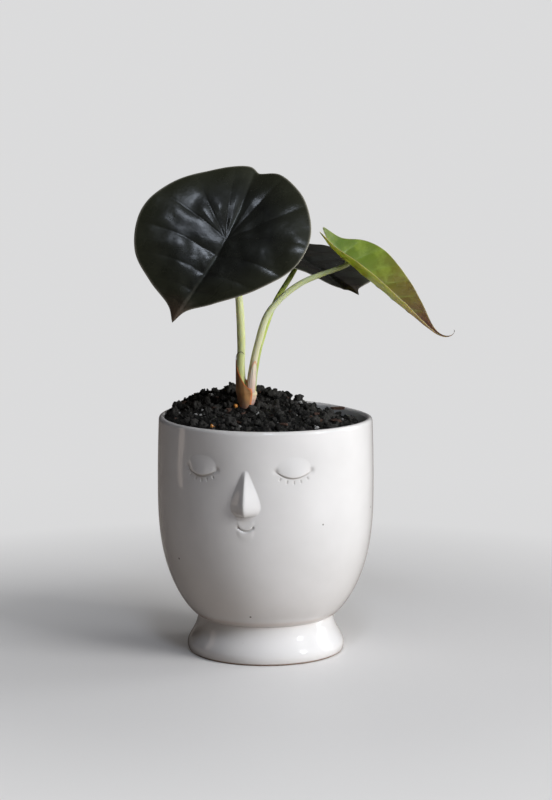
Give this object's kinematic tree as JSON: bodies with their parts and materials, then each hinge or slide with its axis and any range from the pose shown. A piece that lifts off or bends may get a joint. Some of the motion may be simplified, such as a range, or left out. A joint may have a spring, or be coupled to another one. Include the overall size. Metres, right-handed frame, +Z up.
{
  "type": "potted alocasia",
  "caption": "Young alocasia with dark glossy peltate leaves and a folded copper-green new leaf, in a footed white glazed pot with a calm relief face.",
  "frame": {"origin": "centre of the pot's flat foot, on the surface that the pot stands on", "axes": "+Z up along the pot's axis, the relief face looks along -Y"},
  "size_m": [0.143, 0.1243, 0.2333],
  "materials": {
    "white_glaze": "glossy off-white glaze with a few tiny dark specks and a bare clay line at the foot",
    "potting_soil": "loose crumbly peat and bark mix",
    "pink_stem": "smooth waxy pinkish stem",
    "papery_sheath": "dry papery brown sheath",
    "pale_sheath": "soft pale pink fresh sheath",
    "green_stalk": "smooth waxy light green stalk",
    "dark_leaf": "near-black glossy leathery leaf",
    "young_leaf": "glossy green leaf turning copper brown at the tip",
    "amber_bead": "resin-coated amber bead",
    "perlite": "rough light grey grain",
    "bark": "rough brown bark"
  },
  "bodies": {
    "root": {"pot": "white_glaze", "potting_soil": "potting_soil", "stem_base": "pink_stem", "outer_cataphyll": "papery_sheath", "inner_cataphyll": "pale_sheath", "front_petiole": "green_stalk", "back_petiole": "green_stalk", "young_petiole": "green_stalk", "front_leaf_blade": "dark_leaf", "back_leaf_blade": "dark_leaf", "young_leaf_blade": "young_leaf", "fertilizer_bead_1": "amber_bead", "fertilizer_bead_2": "amber_bead", "perlite_1": "perlite", "perlite_2": "perlite", "perlite_3": "perlite", "perlite_4": "perlite", "perlite_5": "perlite", "perlite_6": "perlite", "perlite_7": "perlite", "bark_chip_1": "bark", "bark_chip_2": "bark", "bark_chip_3": "bark", "bark_chip_4": "bark", "bark_chip_5": "bark", "bark_chip_6": "bark", "bark_chip_7": "bark", "soil_crumb_1": "potting_soil", "soil_crumb_2": "potting_soil", "soil_crumb_3": "potting_soil", "soil_crumb_4": "potting_soil", "soil_crumb_5": "potting_soil", "soil_crumb_6": "potting_soil", "soil_crumb_7": "potting_soil"}
  },
  "joints": []
}
